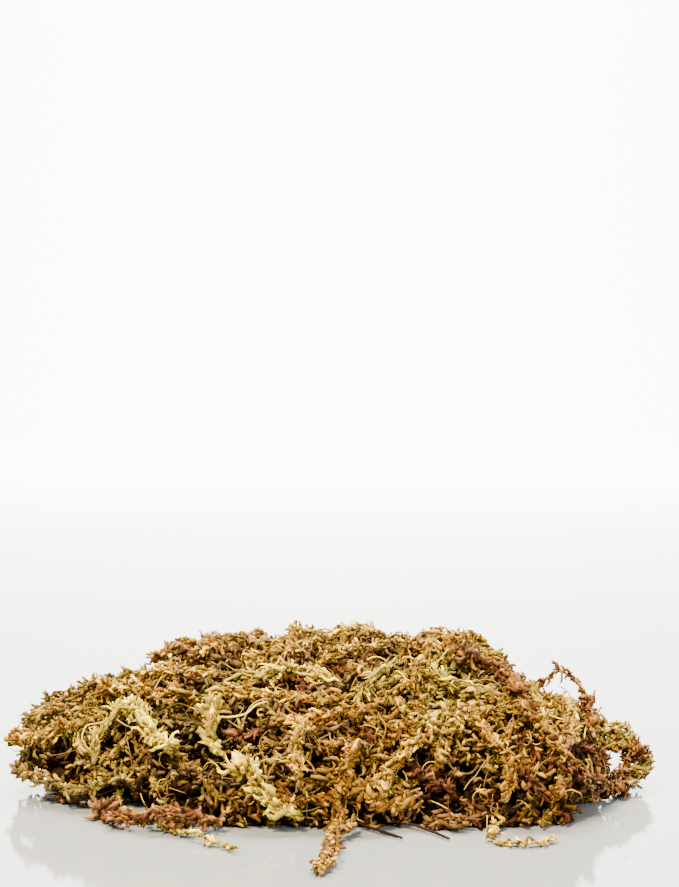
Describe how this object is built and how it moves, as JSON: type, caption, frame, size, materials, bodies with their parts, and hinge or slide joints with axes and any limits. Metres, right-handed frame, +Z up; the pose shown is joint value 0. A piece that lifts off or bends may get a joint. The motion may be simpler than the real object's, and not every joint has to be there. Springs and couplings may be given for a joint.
{
  "type": "sphagnum moss clump",
  "caption": "Low, loose clump of dried long-fibre sphagnum moss, with strands matted together, draped over it and trailing in front of it.",
  "frame": {"origin": "on the surface that the clump rests on, under the middle of its box", "axes": "+Z up, +X to the right of the front that the picture shows, +Y away from it"},
  "size_m": [0.269, 0.1786, 0.0663],
  "materials": {
    "dry_moss_matted": "matt, dark in its gaps",
    "dry_moss_straw": "matt, faintly waxy",
    "dry_moss_amber": "matt, faintly waxy",
    "dry_moss_umber": "matt",
    "bark_sliver": "matt"
  },
  "bodies": {
    "root": {"amber_cap_strand": "dry_moss_amber", "back_strand_01": "dry_moss_umber", "back_strand_02": "dry_moss_umber", "back_strand_03": "dry_moss_umber", "back_strand_04": "dry_moss_umber", "back_strand_05": "dry_moss_umber", "back_strand_06": "dry_moss_umber", "back_strand_07": "dry_moss_umber", "back_strand_08": "dry_moss_umber", "bark_sliver_front": "bark_sliver", "bark_sliver_right": "bark_sliver", "brow_arch_strand": "dry_moss_straw", "centre_fall_strand": "dry_moss_straw", "crest_strand": "dry_moss_amber", "crown_strand_01": "dry_moss_straw", "crown_strand_02": "dry_moss_straw", "crown_strand_03": "dry_moss_straw", "crown_strand_04": "dry_moss_straw", "crown_strand_05": "dry_moss_straw", "crown_strand_06": "dry_moss_straw", "front_foot_strand": "dry_moss_umber", "front_left_tendril": "dry_moss_straw", "front_left_trail": "dry_moss_amber", "front_right_tendril": "dry_moss_straw", "front_strand_01": "dry_moss_amber", "front_strand_02": "dry_moss_amber", "front_strand_03": "dry_moss_amber", "front_strand_04": "dry_moss_amber", "front_strand_05": "dry_moss_amber", "front_strand_06": "dry_moss_amber", "front_strand_07": "dry_moss_amber", "front_strand_08": "dry_moss_amber", "front_tail_strand": "dry_moss_straw", "hanging_branch_strand": "dry_moss_straw", "left_low_strand": "dry_moss_umber", "left_rim_strand": "dry_moss_straw", "left_run_strand": "dry_moss_straw", "left_stem_strand": "dry_moss_straw", "left_strand_01": "dry_moss_straw", "left_strand_02": "dry_moss_straw", "left_strand_03": "dry_moss_straw", "left_strand_04": "dry_moss_straw", "left_strand_05": "dry_moss_straw", "moss_mat": "dry_moss_matted", "orange_arm_strand": "dry_moss_amber", "orange_middle_strand": "dry_moss_amber", "pale_brow_strand": "dry_moss_straw", "pale_tuft_strand": "dry_moss_straw", "right_arch_stem": "dry_moss_umber", "right_crown_strand": "dry_moss_umber", "right_end_loop": "dry_moss_umber", "right_foot_strand": "dry_moss_umber", "right_inner_strand": "dry_moss_amber", "right_long_strand": "dry_moss_straw", "right_outer_strand": "dry_moss_amber", "right_strand_01": "dry_moss_amber", "right_strand_02": "dry_moss_amber", "right_strand_03": "dry_moss_amber", "yellow_bundle_strand": "dry_moss_straw"}
  },
  "joints": []
}
